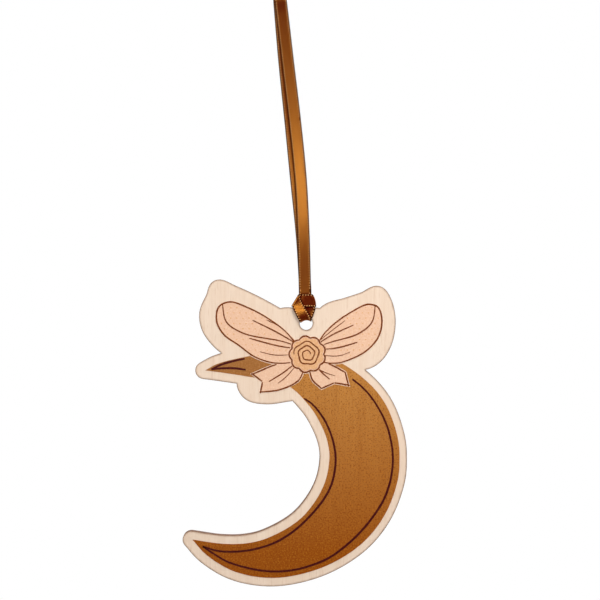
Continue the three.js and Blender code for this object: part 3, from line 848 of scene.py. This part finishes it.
CLEARANCE = 0.1
LAYER = 0.35  # from one ribbon to the next that lies on it
NEAR = FACE + CLEARANCE + RIBBON_THICKNESS / 2
FAR = NEAR + LAYER
IN_HOLE = FACE - 0.4
HITCH_TOP = 8.2
REAR_Y = 0.43
FRONT_Y = 0.08
hitch_stations = [
    station((1.28, REAR_Y, HITCH_TOP), (-1.72, REAR_Y, HITCH_TOP)),
    station((1.3, 0.52, 7), (-1.7, 0.52, 7)),
    station((1.35, 1.15, 5.5), (-1.65, 1.15, 5.5)),
    station((1.42, 1.9, 4.4), (-1.58, 1.9, 4.4)),
    station((1.48, FAR, 3.6), (-1.52, FAR, 3.6)),
    station((1.5, FAR, 2.6), (-1.5, FAR, 2.6)),
    station((1.5, FAR, 1.85), (-1.5, FAR, 1.75), (0, 0, 0.05)),
    station((1.34, FAR - 0.12, 0.95), (-1.42, FAR - 0.12, 0.7), (0, 0, 0.42)),
    station((1.28, FACE, 0.52), (-1.37, FACE, 0.25), (0, 0, 0.54)),
    station((1.28, IN_HOLE, 0.5), (-1.36, IN_HOLE, 0.22), (0, 0, 0.54)),
    station((1.28, -IN_HOLE, 0.5), (-1.36, -IN_HOLE, 0.22), (0, 0, 0.52)),
    station((1.28, -FACE - 0.05, 0.54), (-1.4, -FACE - 0.1, 0.24), (0, 0, 0.46)),
    station((1.18, -FAR - 0.15, 1.1), (-1.62, -FAR - 0.15, 0.44), (0, 0, 0.26)),
    station((0.8, -FAR - 0.47, 2.15), (-1.93, -FAR - 0.42, 1), (0, 0, 0.03)),
    station((0, -FAR - 0.4, 3.5), (-2.6, -FAR - 0.37, 2.25)),
    station((-0.72, -FAR - 0.15, 4.75), (-3.2, -FAR - 0.15, 3.5)),
    station((-1.34, -2.06, 6.1), (-3.34, -2.08, 3.9)),
    station((-1.58, -2, 7.06), (-3.38, -2.06, 4.1)),
    station((-1.74, -1.93, 7.12), (-3.53, -1.98, 4.16)),
    station((-1.81, -1.72, 7.14), (-3.6, -1.77, 4.19)),
    station((-1.74, -1.51, 7.14), (-3.53, -1.57, 4.16)),
    station((-1.58, -1.43, 7.14), (-3.38, -1.52, 4.12)),
    station((-0.9, -1.33, 7.2), (-2.3, -FAR + 0.2, 4.05)),
    station((-0.3, -1.34, 7.22), (-1.1, -FAR + 0.02, 4.02)),
    station((0.5, -1.36, 7.22), (0.4, -FAR - 0.03, 4)),
    station((1, -1.38, 7.18), (1.5, -FAR - 0.08, 4), (0.06, 0, 0.02)),
    station((1.3, -1.4, 7.1), (2.12, -2.06, 3.98), (0.14, 0, 0.05)),
    station((1.45, -1.33, 7.12), (2.27, -1.99, 4.02), (0.2, 0, 0.08)),
    station((1.52, -1.17, 7.12), (2.34, -1.83, 4.04), (0.22, 0, 0.1)),
    station((1.45, -1.01, 7.1), (2.27, -1.67, 4.02), (0.2, 0, 0.08)),
    station((1.3, -0.94, 7), (2.12, -NEAR, 3.95), (0.14, 0, 0.05)),
    station((-0.1, -0.86, 5.8), (2.2, -NEAR, 3.66)),
    station((-0.59, -1.34, 4.48), (2.16, -NEAR, 3.3)),
    station((-1.05, -NEAR, 3.1), (1.85, -NEAR, 2.3)),
    station((-1.36, -NEAR, 2), (1.55, -NEAR, 1.5), (0, 0, 0.1)),
    station((-1.36, -NEAR + 0.08, 0.9), (1.26, -NEAR + 0.08, 1.02), (0, 0, 0.5)),
    station((-1.31, -FACE + 0.1, 0.53), (1.14, -FACE + 0.1, 0.84), (0, 0, 0.73)),
    station((-1.3, -IN_HOLE, 0.51), (1.13, -IN_HOLE, 0.82), (0, 0, 0.74)),
    station((-1.3, IN_HOLE, 0.51), (1.13, IN_HOLE, 0.82), (0, 0, 0.74)),
    station((-1.31, FACE - 0.1, 0.53), (1.14, FACE - 0.1, 0.84), (0, 0, 0.73)),
    station((-1.36, NEAR - 0.08, 0.9), (1.26, NEAR - 0.08, 1.02), (0, 0, 0.5)),
    station((-1.5, NEAR, 1.8), (1.5, NEAR, 1.85), (0, 0, 0.1)),
    station((-1.6, NEAR, 2.8), (1.4, NEAR, 2.8)),
    station((-1.68, NEAR, 3.7), (1.32, NEAR, 3.7)),
    station((-1.74, 1.35, 4.6), (1.26, 1.35, 4.6)),
    station((-1.78, 0.62, 5.6), (1.22, 0.62, 5.6)),
    station((-1.79, 0.22, 6.4), (1.21, 0.22, 6.4)),
    station((-1.8, 0.12, 7.1), (1.2, 0.12, 7.1)),
    station((-1.81, FRONT_Y, HITCH_TOP), (1.19, FRONT_Y, HITCH_TOP)),
]
hitch_shape = Shape()
placed = [[one + HOLE, other + HOLE, rise] for one, other, rise in hitch_stations]
add_ribbon(hitch_shape, placed, 6)
hitch = hitch_shape.become("hitch", [satin, stitches])
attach(hitch, "ornament")
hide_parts("ribbon_hitch")


# Strands: each strand's middle, as [right, back, up] from the hanging point


STRAND_START = HOLE.z + HITCH_TOP
SPLIT = -42
KNOT_BOTTOM = 1.2
front_strand = [
    (7.49, FRONT_Y, STRAND_START), (7.19, -0.22, -71.6), (6.46, -0.24, -56.9), (4.99, -0.25, -42),
    (3.28, -0.25, -27.6), (1.93, -0.25, -16), (1.38, -0.27, -11.6), (0.95, -1.3, -8), (0.45, -2.3, -5),
    (0.15, -2.3, -2.2), (0, -1.3, 0), (0, -0.6, KNOT_BOTTOM + 0.3),
]
rear_strand = [
    (7.58, REAR_Y, STRAND_START), (6.85, 0.14, -71.6), (5.38, 0.16, -56.9), (3.92, 0.2, -42),
    (2.45, 0.2, -27.6), (1.23, 0.35, -13), (0.9, 1.3, -8.5), (0.45, 2.3, -5), (0.15, 2.3, -2.2),
    (0, 1.3, 0), (0, 0.6, KNOT_BOTTOM + 0.3),
]
SWELL = {"at": -59, "above": 36, "below": 24, "depth": 0.36}
REAR_LEAN = 0.18
LEAN_REACH = 32


def fade(away):
    """From 1 at no distance to 0 at a distance of 1 either way."""
    return math.cos(max(-1, min(1, away)) * math.pi / 2) ** 2


def bowed(point):
    """The strands stand a little proud of a straight line where the ribbon keeps a trace of its winding."""
    away = point.z - SWELL["at"]
    reach = SWELL["above"] if away > 0 else SWELL["below"]
    return point - Vector((0, SWELL["depth"] * fade(away / reach), 0))


def strand_stations(line, lean):
    """Stations along a strand, with its left edge a lean nearer to the viewer round the split."""
    made = []
    last = len(line) - 1
    for i, p in enumerate(line):
        along = line[min(i + 1, last)] - line[max(i - 1, 0)]
        half = Vector((0, 1, 0)).cross(along).normalized() * (RIBBON_WIDTH / 2)
        half.y += lean * fade((p.z - SPLIT) / LEAN_REACH)
        made.append([p - half, p + half, Vector((0, 0, 0))])
    return made


def strand(name, points, upper):
    """The part of a strand above or below the split, and the line that it follows."""
    route = [bowed(p) for p in spaced(spline([Vector(p) for p in points], 12), 0.5)]
    at = min(range(len(route)), key=lambda i: abs(route[i].z - SPLIT))
    line = route[at:] if upper else route[:at + 1]
    in_front = points is front_strand
    stations = strand_stations(line, 0 if in_front else REAR_LEAN)
    if not upper:
        hitch_end = placed[-1] if in_front else placed[0]
        stations[0] = [*sorted(hitch_end[:2], key=lambda p: p.x), Vector((0, 0, 0))]
    shape = Shape()
    middle = add_ribbon(shape, stations, 2)
    sparse = middle[::max(1, len(middle) // 30)] + [middle[-1]]
    return shape.become(name, [satin, stitches]), sparse


strands = {}
for side, points in (("front", front_strand), ("rear", rear_strand)):
    for half in ("lower", "upper"):
        piece, line = strand(f"{side}_{half}_strand", points, half == "upper")
        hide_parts(f"ribbon_{side}_{half}")
        strands[side, half] = piece, [p * MM for p in line]


# End knot: the doubled ribbon tied in one overhand turn, and its two cut ends


KNOT = {"width": 4.8, "depth": 3.6, "height": 4, "body": 0.94}  # body: the bundle's share of these sizes
TURN = {"tilt": 24, "steps": 20, "round": 0.97, "grow": 0.03, "sink": 0.9, "half_width": 0.36, "bulge": 0.28}
knot_middle = Vector((0, 0, KNOT_BOTTOM + KNOT["height"] / 2))


def knot_body(shape):
    """The knot's body: a rounded bundle whose folds fan out from its waist."""
    around, rings = 48, 24
    places, uvs = [], []
    for i in range(rings + 1):
        a = math.pi * i / rings
        for j in range(around):
            b = 2 * math.pi * j / around
            fold = 0.06 * math.sin(3 * b + 4 * math.cos(a)) + 0.035 * math.sin(7 * b - 6 * math.cos(a))
            reach = 0.5 * (KNOT["body"] + fold * math.sin(a))
            right = math.sin(a) * math.cos(b) * KNOT["width"]
            back = math.sin(a) * math.sin(b) * KNOT["depth"]
            places.append(knot_middle + Vector((right, back, math.cos(a) * KNOT["height"])) * reach)
            uvs.append((2 * RIBBON_WIDTH * j / around, i * 0.3))
    faces = []
    for i in range(rings):
        for j in range(around):
            k = (j + 1) % around
            faces.append((i * around + j, (i + 1) * around + j, (i + 1) * around + k, i * around + k))
    shape.add(places, faces, uvs)


def knot_turn():
    """Stations of a turn of ribbon round the knot's body, tilted sideways."""
    made = []
    tilt = math.radians(TURN["tilt"])
    wide = Vector((0, 0, RIBBON_WIDTH * TURN["half_width"]))
    for i in range(TURN["steps"] + 1):
        a = 2 * math.pi * i / TURN["steps"] * TURN["round"]
        reach = 1 + TURN["grow"] * i / TURN["steps"]
        out = Vector((math.cos(a) * KNOT["width"] / 2, math.sin(a) * KNOT["depth"] / 2, 0)) * reach
        edges = []
        for sign in (1, -1):
            edge = out * TURN["sink"] + wide * sign
            right = edge.x * math.cos(tilt) - edge.z * math.sin(tilt)
            rise = edge.x * math.sin(tilt) + edge.z * math.cos(tilt)
            edges.append(knot_middle + Vector((right, edge.y, rise)))
        made.append([*edges, out.normalized() * TURN["bulge"]])
    return made


knot_shape = Shape()
knot_body(knot_shape)
add_ribbon(knot_shape, knot_turn(), 4)
knot = knot_shape.become("end_knot", [satin, stitches])
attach(knot, "hanger")
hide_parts("ribbon_end_knot")

# Each cut end leaves the knot pinched and level, then spreads and leans within a quarter of its length.
TAIL = {"length": 8.87, "lean": 20, "slant": 1.2, "curl": 0.5, "apart": 0.175, "pinch": 0.4, "gap": 0.06}
knot_top = knot_middle.z + KNOT["body"] / 2 * KNOT["height"] + TAIL["gap"]
for side, sign in (("front", -1), ("rear", 1)):
    lean = math.radians(TAIL["lean"]) * sign
    up = Vector((math.sin(lean), 0.1 * sign, math.cos(lean))).normalized()
    root = Vector((0, TAIL["apart"] * sign, knot_top))
    made = []
    for part in (0, 0.25, 0.5, 0.75, 1):
        spread = min(1, part * 4)
        middle = root + up * TAIL["length"] * part
        middle.y += sign * TAIL["curl"] * math.sin(math.pi * part)
        cut = up * (TAIL["slant"] * sign * part / 2)
        half = Vector((math.cos(lean * spread), 0, -math.sin(lean * spread))) * (RIBBON_WIDTH / 2)
        narrow = half * (TAIL["pinch"] + (1 - TAIL["pinch"]) * spread)
        cup = Vector((0, 0.3 * sign * (1 - part), 0))
        made.append([middle - narrow - cut, middle + narrow + cut, cup])
    shape = Shape()
    add_ribbon(shape, made, 6)
    tail = shape.become(f"cut_end_{side}", [satin, stitches])
    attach(tail, "hanger")
    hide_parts(f"ribbon_tail_{side}")

for side in ("front", "rear"):
    low, low_line = strands[side, "lower"]
    high, high_line = strands[side, "upper"]
    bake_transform(low)
    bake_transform(high)


# Floor, light and camera


SLAB_GLOW = 0.42
FLOOR_Z = -0.42
FLOOR_REACH = 0.7
WORLD_LIGHT = 0.06
BACKDROP_EDGE = 0.1  # how far the mirrored backdrop's edge spreads
LENS = 135.07
CAMERA_PLACE = (0.006285, -0.5515, -0.08626)


def slab_material(name, colour):
    paint = Paint(name, Roughness=0.9, Specular_IOR_Level=0.1)
    cloud = paint.noise(paint.place("Object", (9, 9, 9)), detail=2)
    paint.into("Base Color", paint.mix(paint.ramp(cloud, 0.3, 0.7, 0, 0.25), colour, srgb(226, 226, 226)))
    # The camera sees the slab lit as by a wide studio. The part isn't lit by this glow.
    glow = paint.node("ShaderNodeLightPath", {})["Is Camera Ray"]
    paint.shader.inputs["Emission Color"].default_value = (1, 1, 1, 1)
    paint.into("Emission Strength", paint.ramp(glow, 0, 1, 0, SLAB_GLOW))
    return paint.material


floor_mesh = bpy.data.meshes.new("floor")
floor_corners = [(x * FLOOR_REACH, y * FLOOR_REACH, FLOOR_Z) for x, y in ((-1, -1), (1, -1), (1, 1), (-1, 1))]
floor_mesh.from_pydata(floor_corners, [], [(0, 1, 2, 3)])
floor_mesh.materials.append(slab_material("floor", srgb(240, 240, 240)))
floor = bpy.data.objects.new("floor", floor_mesh)
floor.visible_glossy = False  # nothing pale lies under the ribbon's folds in the photograph
bpy.context.scene.collection.objects.link(floor)
floor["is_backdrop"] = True

world = bpy.data.worlds.new("studio")
world.use_nodes = True
bpy.context.scene.world = world
tree = world.node_tree
background = tree.nodes["Background"]
rays = tree.nodes.new("ShaderNodeLightPath").outputs


def world_math(operation, one, other):
    made = tree.nodes.new("ShaderNodeMath")
    made.operation = operation
    tree.links.new(one, made.inputs[0])
    tree.links.new(other, made.inputs[1])
    return made.outputs[0]


# The backdrop is white to the camera. Gloss and glass show it where it stands, behind the object.
direction = tree.nodes.new("ShaderNodeTexCoord")
parts = tree.nodes.new("ShaderNodeSeparateXYZ")
tree.links.new(direction.outputs["Generated"], parts.inputs[0])
behind = tree.nodes.new("ShaderNodeMapRange")
behind.inputs["From Min"].default_value = -BACKDROP_EDGE
behind.inputs["From Max"].default_value = BACKDROP_EDGE
tree.links.new(parts.outputs["Y"], behind.inputs["Value"])
mirrored = world_math("MAXIMUM", rays["Is Glossy Ray"], rays["Is Transmission Ray"])
mirrored = world_math("MULTIPLY", mirrored, behind.outputs["Result"])
seen = world_math("MAXIMUM", rays["Is Camera Ray"], mirrored)
strength = tree.nodes.new("ShaderNodeMapRange")
strength.inputs["To Min"].default_value = WORLD_LIGHT
strength.inputs["To Max"].default_value = 1
tree.links.new(seen, strength.inputs["Value"])
background.inputs["Color"].default_value = (1, 1, 1, 1)
tree.links.new(strength.outputs["Result"], background.inputs["Strength"])


def lamp(name, place, aim, size, watts, in_gloss=True):
    light = bpy.data.lights.new(name, "AREA")
    light.shape = "RECTANGLE"
    light.size, light.size_y = size
    light.energy = watts
    holder = bpy.data.objects.new(name, light)
    holder.location = place
    holder.rotation_euler = (Vector(aim) - Vector(place)).to_track_quat("-Z", "Y").to_euler()
    holder.visible_camera = False
    holder.visible_glossy = in_gloss
    bpy.context.scene.collection.objects.link(holder)


lamp("strip", (-0.17, -0.31, -0.053), (0.006, 0, -0.07), (0.14, 0.04), 0.4)
lamp("near", (0.09, -0.17, -0.04), (0.02, 0, -0.12), (0.1, 0.08), 0.2, in_gloss=False)
lamp("overhead", (0, -0.04, 0.5), (0, -0.04, -0.1), (0.8, 0.8), 5.4, in_gloss=False)
lamp("back", (0.1, 0.5, 0.2), (0.006, 0, -0.09), (0.5, 0.4), 2.6)

camera_data = bpy.data.cameras.new("camera")
camera_data.sensor_width = 36
camera_data.lens = LENS
camera = bpy.data.objects.new("camera", camera_data)
camera.location = CAMERA_PLACE
camera.rotation_euler = (math.radians(90), 0, 0)
bpy.context.scene.collection.objects.link(camera)
bpy.context.scene.camera = camera
bpy.context.scene.view_settings.view_transform = "Standard"

low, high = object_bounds()
